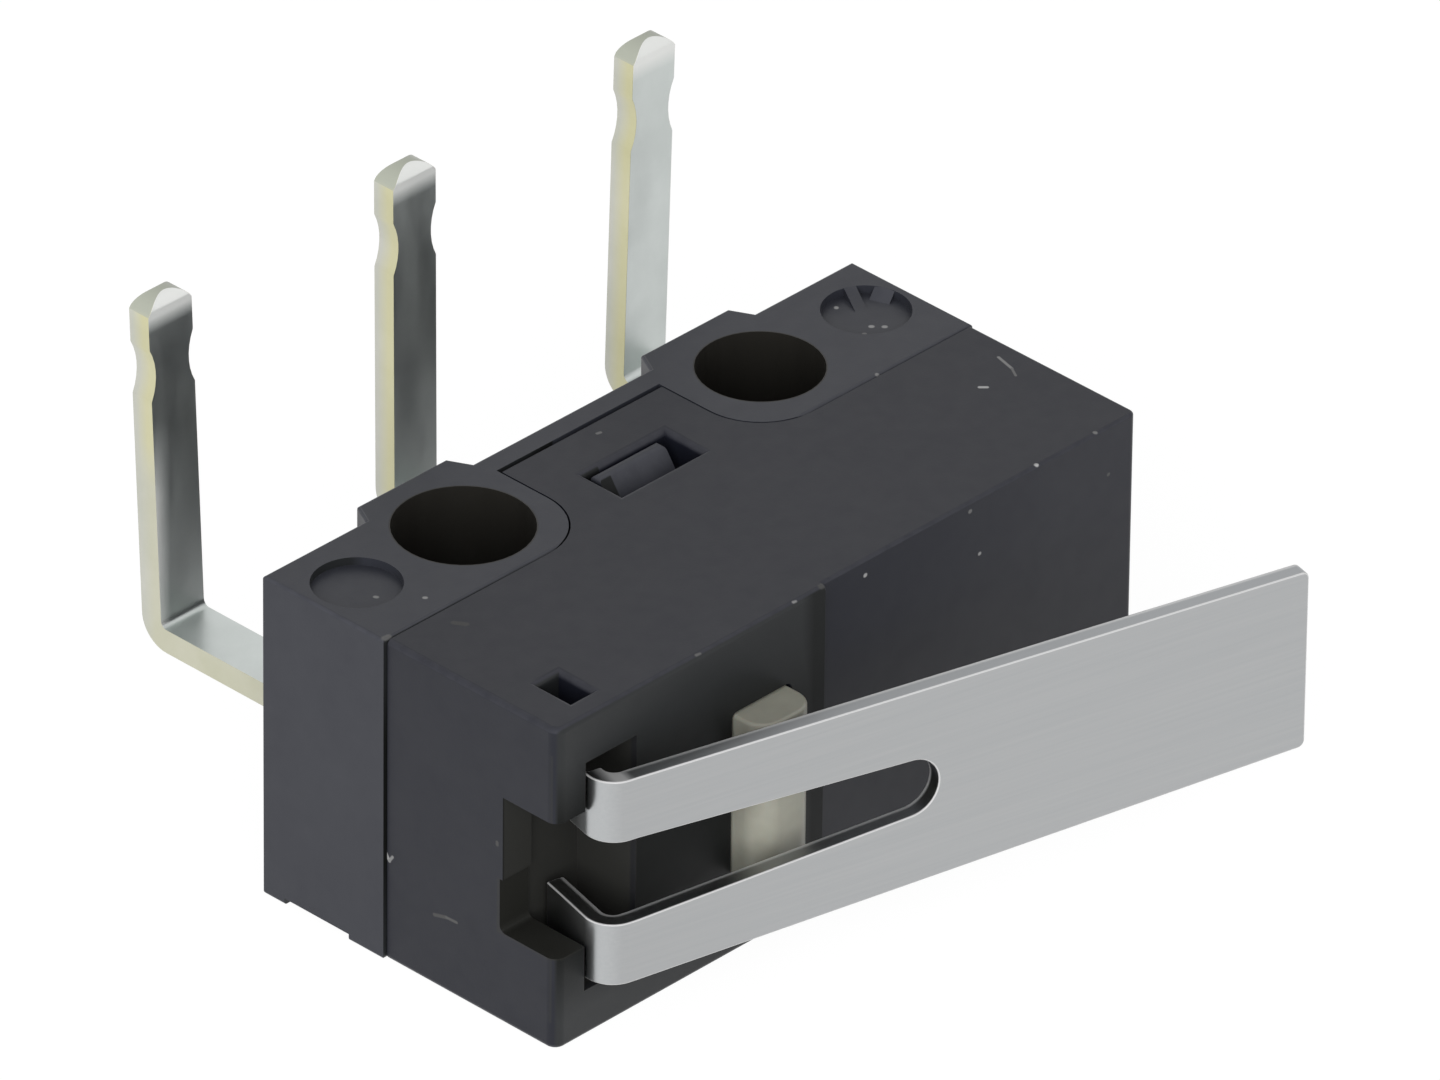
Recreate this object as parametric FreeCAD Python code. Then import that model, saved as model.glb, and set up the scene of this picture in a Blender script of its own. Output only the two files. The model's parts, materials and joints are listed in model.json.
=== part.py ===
"""Lever micro switch, subminiature, with right-angle board pins and a hinged lever.

Lengths are in millimetres. X runs along the case from the hinge end to the free end of the
lever, Y from the plunger face to the terminals, and Z up through the thickness of the case.
The pieces are drawn from the hinge end and the plunger face of the case, and the finished
shapes are then moved so that the origin lies on the axis of the locating hole, in the side
face on which the switch rests.
"""
import FreeCAD, Part
import math
import os

V = FreeCAD.Vector

# Case
case_length = 12.8
case_thickness = 5.8
case_left = 0.03
base_overhang = 0.05
seam_y = 3.55
seam_gap = 0.03
base_back = 6.15
side_wall = 0.6
end_wall = 0.65
front_wall = 0.85
front_step = 0.1
step_x = 5.85
edge_round = 0.06
soft_round = 0.1
hinge_corner_round = 0.2
far_corner_round = 0.12

# Mounting holes and the bosses behind them
hole_x = 3.15
hole_y = 5.0
hole_spacing = 6.5
wide_hole_d = 2.25
locating_hole_d = 2.05
boss_back_width = 1.92
boss_proud = 0.39
boss_slope = 0.2
wide_boss_shift = 0.2
locating_boss_shift = -0.1
shoulder_x = 1.47
shoulder_round = 1.1

# Round recesses in the corners of the base, and the relief under it
recess_inset = 0.82
recess_r = 0.72
recess_depth = 0.14
relief_reach = 1.5
relief_width = 1.4
relief_depth = 0.12
long_mark_angle = 65
long_mark_width = 0.2
long_mark_from = 0.2
short_mark_angle = 20
short_mark_width = 0.34
short_mark_from = 0.5

# Snap window of the cover and its barb on the base
tongue_back = 5.66
rail_front = 5.75
window_left = 5.5
window_right = 7.28
window_front = 3.92
window_back = 4.74
window_round = 0.12
barb_left = 5.6
barb_right = 7.04
barb_foot = 4.12
barb_sink = 0.04
barb_ramp = 0.4
barb_gap = 0.05
barb_round = 0.1

# Locating rails of the base inside the cover
rail_left = 2.6
rail_right = 10.4
rail_thickness = 0.3
rail_height = 0.35
fit_gap = 0.03

# Lever
pivot_x = 1.02
pivot_y = 0.65
lever_angle = 14.1
lever_travel = 15.1
sheet = 0.3
lever_reach = 12.55
lever_standoff = 1.27
bend_inner = 0.2
root_width = 3.68
tip_width = 3.2
tip_round = 0.12
slot_end = 5.87
slot_root_width = 1.48
slot_end_width = 1.0
tail_reach = 0.35
tail_step = 0.3
tail_step_at = 0.72
ear_width = 0.4
ear_height = 0.81

# Pocket in the cover for the two tines, its pivot windows and the notch beside it
pocket_left = 0.65
pocket_right = 1.75
pocket_depth = 1.15
pocket_low = 0.84
pocket_high = 4.97
pocket_wall = 0.45
pivot_window_x = 0.45
pivot_window_front = 0.37
pivot_window_back = 1.07
pivot_window_round = 0.12
notch_back = 1.1
notch_low = 1.65
notch_high = 4.1
notch_middle = 2.6
notch_ledge = 0.06
notch_round = 0.12

# Plunger
plunger_x = 4.47
plunger_width = 1.2
plunger_length = 2.9
plunger_out = 0.71
plunger_round = 0.4
plunger_corner = 0.06
plunger_travel = 0.475
guide_gap = 0.05
flange_width = 2.0
flange_length = 3.6
flange_thickness = 0.4
foot_width = 0.6
foot_length = 2.6
foot_bottom = 1.755

# Terminals, stamped from one sheet that lies flat in the middle of the case
pin_pitch = 5.08
pin_row_shift = -0.03
pin_width = 0.93
pin_sheet = 0.42
pin_z = 2.83
pin_back = 9.7
pin_top = 9.0
pin_bend = 0.12
pin_tip_rise = 0.26
pin_waist_below = 1.33
pin_waist_length = 0.95
pin_waist_depth = 0.11
pin_coin_height = 0.34
pin_coin_depth = 0.14
pin_leans = (-2.4, -0.4, 1.6)
slot_gap = 0.02

# Contacts and the snap blade, inside the case
blade_y = 2.1
blade_sheet = 0.1
blade_left = 1.0
blade_margin = 0.4
blade_width = 2.6
blade_rail = 0.5
blade_window_left = 2.6
blade_window_right = 7.4
tongue_width = 1.2
tongue_tip_x = 4.36
tongue_tip_drop = 0.4
tongue_bow = 0.5
stem_gap = 0.02
floor_gap = 0.05
arm_height = 0.45
open_arm_height = 0.33
hook_left = 3.95
hook_right = 4.3
hook_top = 2.45
contact_inset = 1.03
contact_head_r = 0.5
contact_neck_r = 0.2
contact_rise = 0.25
contact_travel = 0.5
bar_r = 0.2
bar_length = 1.0
contact_gap = 0.02
arm_margin = 0.35

# Sizes that follow
middle_z = case_thickness / 2
case_right = case_left + case_length
base_left = case_left - base_overhang
base_right = case_right + base_overhang
pin_middle = (case_left + case_right) / 2 + pin_row_shift
contact_x = pin_middle + pin_pitch - contact_inset
arm_end_x = contact_x - arm_margin
blade_right = contact_x + blade_margin
cover_back = seam_y - seam_gap
locating_x = hole_x + hole_spacing
cavity_front = front_wall
cover_front = -front_step
pin_low = pin_z - pin_sheet / 2
pin_high = pin_z + pin_sheet / 2
blade_back = blade_y + blade_sheet
stem_top = blade_back + stem_gap
arm_floor = seam_y - floor_gap


def box(x0, x1, y0, y1, z0, z1):
    return Part.makeBox(x1 - x0, y1 - y0, z1 - z0, V(x0, y0, z0))


def upright_cylinder(x, y, radius, z0, z1):
    return Part.makeCylinder(radius, z1 - z0, V(x, y, z0))


def outline(steps):
    """A closed flat wire from points; a pair of points stands for an arc by way of the first."""
    edges = []
    start = steps[0]
    here = start
    for step in steps[1:] + [start]:
        if isinstance(step, tuple):
            through, there = step
            edges.append(Part.Arc(here, through, there).toShape())
        else:
            there = step
            edges.append(Part.LineSegment(here, there).toShape())
        here = there
    return Part.Wire(edges)


def prism(steps, sweep):
    return Part.Face(outline(steps)).extrude(sweep)


def around(centre, radius, degrees, z=0.0):
    """The point of a flat circle at an angle from +X."""
    angle = math.radians(degrees)
    return V(centre[0] + radius * math.cos(angle), centre[1] + radius * math.sin(angle), z)


def picked_edges(shape, test):
    """The edges whose ends both pass a test on the point."""
    return [edge for edge in shape.Edges if all(test(vertex.Point) for vertex in edge.Vertexes)]


def near(a, b):
    return abs(a - b) < 1e-6


def mirrored(shape):
    """The same shape on the other side of the case's middle plane."""
    return shape.mirror(V(0, 0, middle_z), V(0, 0, 1))


def both_sides(shape):
    return [shape, mirrored(shape)]


def cover_half(x0, x1, y0, outer_x, corner_round, rim_round):
    """One end of the cover's block, rounded at its outer corner and along both rims."""
    block = box(x0, x1, y0, cover_back, 0, case_thickness)
    upright = picked_edges(block, lambda p: near(p.x, outer_x) and near(p.y, y0))
    block = block.makeFillet(corner_round, upright)
    inner_x = x0 + x1 - outer_x
    rims = []
    for level in (0, case_thickness):
        for edge in picked_edges(block, lambda p: near(p.z, level)):
            joins_half = all(near(vertex.X, inner_x) for vertex in edge.Vertexes)
            joins_base = all(near(vertex.Y, cover_back) for vertex in edge.Vertexes)
            if not joins_half and not joins_base:
                rims.append(edge)
    return block.makeFillet(rim_round, rims)


def tongue_outline(gap, back, z):
    """The seam on the side of the case: between the two shoulders of the base."""
    radius = shoulder_round + gap
    left = (hole_x + shoulder_x - shoulder_round, seam_y + shoulder_round)
    right = (locating_x - shoulder_x + shoulder_round, seam_y + shoulder_round)
    return [
        around(left, radius, -90, z),
        (around(left, radius, -45, z), around(left, radius, 0, z)),
        V(left[0] + radius, back, z),
        V(right[0] - radius, back, z),
        around(right, radius, 180, z),
        (around(right, radius, 225, z), around(right, radius, 270, z)),
    ]


def soft_mouth(body, x0, x1, y0, y1, radius):
    """Rounds the rims of a window where it opens in both sides of the case."""
    rims = []
    for level in (0, case_thickness):
        rims += picked_edges(body, lambda p: near(p.z, level) and (
            x0 - 1e-6 < p.x < x1 + 1e-6 and y0 - 1e-6 < p.y < y1 + 1e-6))
    return body.makeFillet(radius, rims)


def stem_room(x, top):
    """The room in the cover for the stem of one terminal."""
    half = pin_width / 2 + fit_gap
    return box(x - half, x + half, top - fit_gap, cover_back, pin_low - fit_gap, pin_high + fit_gap)


def make_cover():
    body = cover_half(case_left, step_x, cover_front, case_left, hinge_corner_round, soft_round)
    body = body.fuse(cover_half(step_x, case_right, 0, case_right, far_corner_round, edge_round))
    tongue = prism(tongue_outline(seam_gap, tongue_back, case_thickness - side_wall), V(0, 0, side_wall))
    body = body.fuse(both_sides(tongue))

    inside = box(case_left + end_wall, case_right - end_wall, cavity_front, cover_back,
                 side_wall, case_thickness - side_wall)
    tine_box = box(case_left, pocket_right + pocket_wall, cover_front, pocket_depth + pocket_wall,
                   0, case_thickness)
    inside = inside.cut(tine_box)
    rooms = [stem_room(x, top) for x, top in zip(pin_positions(), stem_tops())]

    pocket = box(pocket_left, pocket_right, cover_front, pocket_depth, pocket_low, pocket_high)
    pivot_window = box(pivot_x - pivot_window_x / 2, pivot_x + pivot_window_x / 2,
                       pivot_window_front, pivot_window_back, 0, case_thickness)
    notch = box(0, pocket_left, cover_front, notch_back, notch_low, notch_middle)
    notch_corner = picked_edges(notch, lambda p: near(p.y, notch_back) and near(p.z, notch_low))
    notch = notch.makeFillet(notch_round, notch_corner)
    upper_notch = box(0, pocket_left, cover_front, notch_back - notch_ledge, notch_middle, notch_high)

    half = plunger_width / 2 + guide_gap
    guide = box(plunger_x - half, plunger_x + half, cover_front, cavity_front + front_wall,
                middle_z - plunger_length / 2 - guide_gap, middle_z + plunger_length / 2 + guide_gap)
    guide = guide.makeFillet(plunger_corner + guide_gap, [
        edge for edge in guide.Edges if near(abs(edge.tangentAt(edge.FirstParameter).y), 1)])
    snap = box(window_left, window_right, window_front, window_back, 0, case_thickness)
    body = body.cut([inside] + rooms + [pocket, pivot_window, notch, upper_notch, guide, snap])
    body = soft_mouth(body, window_left, window_right, window_front, window_back, window_round)
    return soft_mouth(body, pivot_x - pivot_window_x / 2, pivot_x + pivot_window_x / 2,
                      pivot_window_front, pivot_window_back, pivot_window_round)


def boss_outline(middle):
    """A boss behind a hole: a flat back with a steep slope at each side."""
    back = base_back + boss_proud
    half = boss_back_width / 2
    return [
        V(middle - half - boss_slope, base_back, 0),
        V(middle - half, back, 0),
        V(middle + half, back, 0),
        V(middle + half + boss_slope, base_back, 0),
        V(middle, hole_y, 0),
    ]


def make_barb():
    """The ridge that the snap window of the cover drops over, with its ramp at the front."""
    low = case_thickness - side_wall
    high = case_thickness - barb_sink
    back = window_back - barb_gap
    ridge = prism([
        V(barb_left, barb_foot, low),
        V(barb_left, barb_foot + barb_ramp, high),
        V(barb_left, back, high),
        V(barb_left, back, low),
    ], V(barb_right - barb_left, 0, 0))
    crest = picked_edges(ridge, lambda p: near(p.z, high))
    return ridge.makeFillet(barb_round, crest)


def make_recess(x, marked):
    """A round sunk spot; the marked one keeps two plain bars that slope down from its rim."""
    floor = case_thickness - recess_depth
    recess = upright_cylinder(x, hole_y, recess_r, floor, case_thickness)
    if marked:
        marks = [
            (long_mark_angle, long_mark_width, long_mark_from),
            (short_mark_angle, short_mark_width, short_mark_from),
        ]
        for angle, width, start in marks:
            side = hole_y - width / 2
            bar = prism([
                V(x + start, side, floor),
                V(x + recess_r, side, case_thickness),
                V(x + 2 * recess_r, side, case_thickness),
                V(x + 2 * recess_r, side, floor),
            ], V(0, width, 0))
            bar.rotate(V(x, hole_y, 0), V(0, 0, 1), angle)
            recess = recess.cut(bar)
    return recess


def make_relief(end_x, inward):
    """A shallow relief under the base, open at the end face and round at its inner end."""
    inner_x = end_x + inward * (relief_reach - relief_width / 2)
    straight = box(min(end_x, inner_x), max(end_x, inner_x),
                   hole_y - relief_width / 2, hole_y + relief_width / 2, 0, relief_depth)
    return straight.fuse(upright_cylinder(inner_x, hole_y, relief_width / 2, 0, relief_depth))


def pin_positions():
    return [pin_middle + step * pin_pitch for step in (-1, 0, 1)]


def stem_tops():
    """How far forward the stems reach, in the order of the pins."""
    return [stem_top, open_bar_y() + bar_r, closed_bar_y() - bar_r - arm_height]


def make_base():
    body = box(base_left, base_right, seam_y, base_back, 0, case_thickness)
    for middle in (hole_x + wide_boss_shift, locating_x + locating_boss_shift):
        body = body.fuse(prism(boss_outline(middle), V(0, 0, case_thickness)))
    body = body.removeSplitter()
    for level in (0, case_thickness):
        rim = picked_edges(body, lambda p: near(p.z, level) and (
            near(p.x, base_left) or near(p.x, base_right) or p.y > base_back - edge_round))
        body = body.makeFillet(edge_round, rim)

    cuts = []
    step = prism(tongue_outline(0, rail_front, case_thickness - side_wall), V(0, 0, side_wall))
    cuts += both_sides(step)
    cuts.append(upright_cylinder(hole_x, hole_y, wide_hole_d / 2, 0, case_thickness))
    cuts.append(upright_cylinder(locating_x, hole_y, locating_hole_d / 2, 0, case_thickness))
    cuts.append(make_recess(case_left + recess_inset, False))
    cuts.append(make_recess(case_right - recess_inset, True))
    cuts.append(make_relief(base_left, 1))
    cuts.append(make_relief(base_right, -1))
    half = pin_width / 2 + slot_gap
    for x in pin_positions():
        cuts.append(box(x - half, x + half, seam_y, base_back + boss_proud,
                        pin_low - slot_gap, pin_high + slot_gap))
    body = body.cut(cuts)

    rail = box(rail_left, rail_right, seam_y - rail_height, seam_y,
               case_thickness - side_wall - fit_gap - rail_thickness, case_thickness - side_wall - fit_gap)
    return body.fuse(both_sides(rail) + both_sides(make_barb()))


def turned(shape):
    """From the lever's own lie, flat along X, to its free position."""
    shape.translate(V(pivot_x, pivot_y, middle_z))
    shape.rotate(V(pivot_x, pivot_y, 0), V(0, 0, 1), -lever_angle)
    return shape


def make_lever():
    """A folded sheet: a tapering flat, slotted into two tines that bend back into the case.

    Drawn about the pivot, with the flat along +X at -Y and the tines running up to the pivot.
    """
    half = sheet / 2
    outer = bend_inner + sheet
    flat_y = -lever_standoff
    outer_centre = (-half + outer, flat_y + outer)
    root = root_width / 2
    tip = tip_width / 2
    band = prism([
        V(-half, tail_reach, -root),
        around(outer_centre, outer, 180, -root),
        (around(outer_centre, outer, 225, -root), around(outer_centre, outer, 270, -root)),
        V(lever_reach, flat_y, -root),
        V(lever_reach, flat_y + sheet, -root),
        around(outer_centre, bend_inner, 270, -root),
        (around(outer_centre, bend_inner, 225, -root), around(outer_centre, bend_inner, 180, -root)),
        V(half, tail_reach, -root),
    ], V(0, 0, root_width))

    through = -lever_standoff - sheet
    depth = V(0, lever_standoff + sheet + 2 * tail_reach, 0)
    taper = prism([
        V(-sheet, through, -root),
        V(outer, through, -root),
        V(lever_reach, through, -tip),
        V(lever_reach, through, tip),
        V(outer, through, root),
        V(-sheet, through, root),
    ], depth)
    corners = picked_edges(taper, lambda p: near(p.x, lever_reach))
    corners = [edge for edge in corners if near(edge.Vertexes[0].Z, edge.Vertexes[1].Z)]
    taper = taper.makeFillet(tip_round, corners)

    slot_r = slot_end_width / 2
    slot_half = slot_root_width / 2
    slot_centre = slot_end - slot_r
    slot = prism([
        V(-sheet, through, -slot_half),
        V(outer, through, -slot_half),
        V(slot_centre, through, -slot_r),
        (V(slot_end, through, 0), V(slot_centre, through, slot_r)),
        V(outer, through, slot_half),
        V(-sheet, through, slot_half),
    ], depth)
    lever = band.common(taper).cut(slot)

    for side in (1, -1):
        step_low, step_high = sorted((side * (root - tail_step), side * root))
        lever = lever.cut(box(-sheet, sheet, -tail_step_at, 2 * tail_reach, step_low, step_high))
        ear_low, ear_high = sorted((side * (root - tail_step), side * (root - tail_step + ear_height)))
        ear = box(-half, half, -ear_width / 2, ear_width / 2, ear_low, ear_high)
        ends = picked_edges(ear, lambda p: near(abs(p.z), root - tail_step + ear_height))
        ends = [edge for edge in ends if near(edge.Vertexes[0].Y, edge.Vertexes[1].Y)]
        lever = lever.fuse(ear.makeFillet(ear_width / 4, ends))
    return turned(lever.removeSplitter())


def make_plunger():
    """Head with a domed end, a flange that keeps it in the cover, and a foot over the blade."""
    half = plunger_width / 2
    centre = plunger_x
    low = middle_z - plunger_length / 2
    flat = half - plunger_round
    dome_y = plunger_round - plunger_out
    left = (centre - flat, dome_y)
    right = (centre + flat, dome_y)
    flange_y = cavity_front + fit_gap
    head = prism([
        V(centre - half, flange_y, low),
        around(left, plunger_round, 180, low),
        (around(left, plunger_round, 225, low), around(left, plunger_round, 270, low)),
        around(right, plunger_round, 270, low),
        (around(right, plunger_round, 315, low), around(right, plunger_round, 0, low)),
        V(centre + half, flange_y, low),
    ], V(0, 0, plunger_length))
    sides = [edge for edge in head.Edges
             if near(abs(edge.tangentAt(edge.FirstParameter).y), 1) and edge.Length > plunger_round
             and near(edge.Vertexes[0].X, edge.Vertexes[1].X)]
    rims = [edge for edge in head.Edges if near(edge.Vertexes[0].Z, edge.Vertexes[1].Z)
            and edge.Vertexes[0].Y < dome_y + 1e-6 and edge.Vertexes[1].Y < dome_y + 1e-6]
    head = head.makeFillet(plunger_corner, sides + rims)
    flange = box(centre - flange_width / 2, centre + flange_width / 2,
                 flange_y, flange_y + flange_thickness,
                 middle_z - flange_length / 2, middle_z + flange_length / 2)
    foot = box(centre - foot_width / 2, centre + foot_width / 2,
               flange_y + flange_thickness, foot_bottom,
               middle_z - foot_length / 2, middle_z + foot_length / 2)
    soles = picked_edges(foot, lambda p: near(p.y, foot_bottom))
    soles = [edge for edge in soles if near(edge.Vertexes[0].X, edge.Vertexes[1].X)]
    foot = foot.makeFillet(foot_width / 4, soles)
    return head.fuse([flange, foot]).removeSplitter()


def pin_upright(x, lean):
    """The standing part of a terminal: a waist, a round tip and edges rolled over at its top."""
    front = pin_back - pin_sheet
    foot_z = pin_low + pin_bend + pin_sheet
    half = pin_width / 2
    shoulder_z = pin_top - pin_tip_rise
    waist_z = pin_top - pin_waist_below
    waist_low = waist_z - pin_waist_length / 2
    waist_high = waist_z + pin_waist_length / 2
    slope = math.tan(math.radians(lean))

    def at(side, z):
        return V(x + side + (z - foot_z) * slope, front, z)

    waist = half - pin_waist_depth
    blank = prism([
        at(-half, foot_z),
        at(-half, waist_low),
        (at(-waist, waist_z), at(-half, waist_high)),
        at(-half, shoulder_z),
        (at(0, pin_top), at(half, shoulder_z)),
        at(half, waist_high),
        (at(waist, waist_z), at(half, waist_low)),
        at(half, foot_z),
    ], V(0, pin_sheet, 0))

    coin_z = pin_top - pin_coin_height
    reach = pin_width + abs(slope) * (pin_top - foot_z)
    through = pin_coin_depth * (1 - math.sqrt(0.5))
    through_z = coin_z + pin_coin_height * math.sqrt(0.5)
    coined = prism([
        V(x - reach, front, foot_z),
        V(x - reach, front, coin_z),
        (V(x - reach, front + through, through_z), V(x - reach, front + pin_coin_depth, pin_top)),
        V(x - reach, pin_back - pin_coin_depth, pin_top),
        (V(x - reach, pin_back - through, through_z), V(x - reach, pin_back, coin_z)),
        V(x - reach, pin_back, foot_z),
    ], V(2 * reach, 0, 0))
    return blank.common(coined)


def pin_outside(x, lean):
    """From the inner face of the base out through its back, round the bend and up to the tip."""
    half = pin_width / 2
    outer = pin_bend + pin_sheet
    centre_y = pin_back - outer
    centre_z = pin_low + outer
    left = x - half
    diagonal = math.sqrt(0.5)
    arm = prism([
        V(left, seam_y, pin_low),
        V(left, centre_y, pin_low),
        (V(left, centre_y + outer * diagonal, centre_z - outer * diagonal), V(left, pin_back, centre_z)),
        V(left, pin_back - pin_sheet, centre_z),
        (V(left, centre_y + pin_bend * diagonal, centre_z - pin_bend * diagonal),
         V(left, centre_y, pin_high)),
        V(left, seam_y, pin_high),
    ], V(pin_width, 0, 0))
    return arm.fuse(pin_upright(x, lean)).removeSplitter()


def stamped(x0, x1, y0, y1):
    """A straight stretch of a terminal inside the case, in the plane of its sheet."""
    return box(x0, x1, y0, y1, pin_low, pin_high)


def make_common():
    """The stem carries the blade on its end, and the hook holds the blade's bowed tongue."""
    x = pin_positions()[0]
    left = x - pin_width / 2
    right = x + pin_width / 2
    stem = stamped(left, right, stem_top, seam_y)
    foot = stamped(left, hook_right, arm_floor - arm_height, arm_floor)
    hook = stamped(hook_left, hook_right, hook_top, arm_floor)
    return pin_outside(x, pin_leans[0]).fuse([stem, foot, hook]).removeSplitter()


def closed_bar_y():
    """Where the fixed contact of the closed side touches the blade's contact at rest."""
    return blade_y - contact_rise - contact_gap


def open_bar_y():
    return blade_back + contact_rise + contact_travel + contact_gap


def make_open_terminal():
    """The middle terminal: its arm runs along the floor to below the blade's contact."""
    x = pin_positions()[1]
    left = x - pin_width / 2
    top = open_bar_y() + bar_r
    arm = stamped(left, contact_x + bar_r, top, top + open_arm_height)
    stem = stamped(left, left + pin_width, top, seam_y)
    return pin_outside(x, pin_leans[1]).fuse([arm, stem]).removeSplitter()


def make_closed_terminal():
    """The far terminal: its stem rises past the blade, and its arm turns back over it."""
    x = pin_positions()[2]
    right = x + pin_width / 2
    bottom = closed_bar_y() - bar_r
    arm = stamped(arm_end_x, right, bottom - arm_height, bottom)
    stem = stamped(x - pin_width / 2, right, bottom - arm_height, seam_y)
    return pin_outside(x, pin_leans[2]).fuse([arm, stem]).removeSplitter()


def contact_bar(base_y, towards):
    """A fixed contact: a half-round bar that lies across the edge of its arm."""
    low = pin_z - bar_length / 2
    return prism([
        V(contact_x - bar_r, base_y, low),
        (V(contact_x, base_y + towards * bar_r, low), V(contact_x + bar_r, base_y, low)),
    ], V(0, 0, bar_length))


def make_blade():
    """The snap blade: two rails, a plate at each end and a bowed tongue between the rails."""
    half = blade_width / 2
    low = middle_z - half
    blank = box(blade_left, blade_right, blade_y, blade_back, low, low + blade_width)
    opening = box(blade_window_left, blade_window_right, blade_y, blade_back,
                  low + blade_rail, low + blade_width - blade_rail)
    neck = Part.makeCylinder(contact_neck_r + slot_gap, blade_sheet,
                             V(contact_x, blade_y, pin_z), V(0, 1, 0))
    blank = blank.cut([opening, neck])

    tongue_low = middle_z - tongue_width / 2
    tip = V(tongue_tip_x, blade_y + tongue_tip_drop, tongue_low)
    root = V(blade_window_right, blade_y, tongue_low)
    bow = V((tongue_tip_x + blade_window_right) / 2, blade_y + tongue_bow, tongue_low)
    thick = V(0, blade_sheet, 0)
    tongue = prism([
        root,
        (bow, tip),
        tip + thick,
        (bow + thick, root + thick),
    ], V(0, 0, tongue_width))
    return blank.fuse(tongue).removeSplitter()


def make_moving_contact():
    """A rivet through the blade with a domed head on each side."""
    head_edge = contact_head_r / 5
    profile = outline([
        V(contact_x, blade_y - contact_rise, pin_z),
        V(contact_x + contact_head_r - head_edge, blade_y - contact_rise, pin_z),
        V(contact_x + contact_head_r, blade_y - contact_rise + head_edge, pin_z),
        V(contact_x + contact_head_r, blade_y, pin_z),
        V(contact_x + contact_neck_r, blade_y, pin_z),
        V(contact_x + contact_neck_r, blade_back, pin_z),
        V(contact_x + contact_head_r, blade_back, pin_z),
        V(contact_x + contact_head_r, blade_back + contact_rise - head_edge, pin_z),
        V(contact_x + contact_head_r - head_edge, blade_back + contact_rise, pin_z),
        V(contact_x, blade_back + contact_rise, pin_z),
    ])
    return Part.Face(profile).revolve(V(contact_x, 0, pin_z), V(0, 1, 0), 360)


def report_motion():
    """The joint values that follow from the sizes."""
    arm = contact_x - (pin_positions()[0] + pin_width / 2)
    blade_turn = math.degrees(math.atan2(contact_travel, arm))
    print("lever turn, degrees", lever_travel)
    print("plunger travel per radian, m", plunger_travel / 1000 / math.radians(lever_travel))
    print("blade turn, degrees", blade_turn, "ratio", blade_turn / lever_travel)


pieces = {
    "base": make_base,
    "cover": make_cover,
    "actuator_lever": make_lever,
    "plunger": make_plunger,
    "common_terminal": make_common,
    "normally_open_terminal": make_open_terminal,
    "normally_closed_terminal": make_closed_terminal,
    "normally_open_contact": lambda: contact_bar(open_bar_y() + bar_r, -1),
    "normally_closed_contact": lambda: contact_bar(closed_bar_y() - bar_r, 1),
    "snap_blade": make_blade,
    "moving_contact": make_moving_contact,
}

os.makedirs("parts", exist_ok=True)
to_frame = V(-locating_x, -hole_y, 0)
for name, make in pieces.items():
    shape = make()
    shape.translate(to_frame)
    print(name, shape.isValid(), len(shape.Solids), round(shape.Volume, 3), shape.BoundBox)
    shape.exportStep("parts/" + name + ".step")
report_motion()
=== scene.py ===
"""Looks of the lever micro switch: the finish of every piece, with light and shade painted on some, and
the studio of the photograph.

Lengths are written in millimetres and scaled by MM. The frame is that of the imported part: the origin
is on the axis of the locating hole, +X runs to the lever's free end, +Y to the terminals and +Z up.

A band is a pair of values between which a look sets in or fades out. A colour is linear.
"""

import json
import math

import bmesh
import bpy
from mathutils import Matrix, Vector


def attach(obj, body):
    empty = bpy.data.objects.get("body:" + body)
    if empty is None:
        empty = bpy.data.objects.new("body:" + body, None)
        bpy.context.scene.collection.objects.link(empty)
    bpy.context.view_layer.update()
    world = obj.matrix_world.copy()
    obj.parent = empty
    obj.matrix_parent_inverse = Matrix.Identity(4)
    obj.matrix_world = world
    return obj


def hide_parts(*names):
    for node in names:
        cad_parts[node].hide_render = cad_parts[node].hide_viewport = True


MM = 0.001

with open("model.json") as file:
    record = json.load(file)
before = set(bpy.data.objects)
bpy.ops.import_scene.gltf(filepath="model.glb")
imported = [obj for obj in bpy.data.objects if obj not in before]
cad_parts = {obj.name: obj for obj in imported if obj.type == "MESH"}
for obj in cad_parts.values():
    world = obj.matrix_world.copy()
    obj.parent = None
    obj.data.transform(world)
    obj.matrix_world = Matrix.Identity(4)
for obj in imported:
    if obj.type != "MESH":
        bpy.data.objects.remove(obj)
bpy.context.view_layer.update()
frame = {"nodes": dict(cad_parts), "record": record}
nodes = frame["nodes"]
record = frame["record"]
bodies = record["behaviour"]["bodies"]
body_of = {node: body for body, members in bodies.items() for node in members}

# Camera, fitted to the photograph, with its angles in radians
CAMERA_AT = (-200.09, -192.30, 179.17)
CAMERA_AZIMUTH = -0.80311
CAMERA_ELEVATION = 0.56662
CAMERA_ROLL = 0.0111
SENSOR = 36.0
LENS = 529.0
CLIP_START = 10.0
CLIP_END = 5000.0

# Studio: the world's light, one wide key light from the front left, and the floor. FLOOR_WHITE is the
# share of plain white in the floor as the camera sees it, and the rest of it takes the shadow.
WHITE = (1.0, 1.0, 1.0)
WORLD_LIGHT = 0.45
KEY_AT = (-230.0, -190.0, 120.0)
KEY_TARGET = (-3.0, -2.0, 3.0)
KEY_SIDE = 260.0
KEY_POWER = 1.0
FLOOR_HALF = 400.0
FLOOR_DROP = 0.01
FLOOR_COLOUR = (0.85, 0.85, 0.85)
FLOOR_GLOW = 1.06
FLOOR_WHITE = 0.9

# Widths of the softened edges, and the distance below which two points of a mesh are one
CASE_EDGE = 0.02
LEVER_EDGE = 0.028
PIN_EDGE = 0.04
INNER_EDGE = 0.01
WELD = 0.0005

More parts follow.
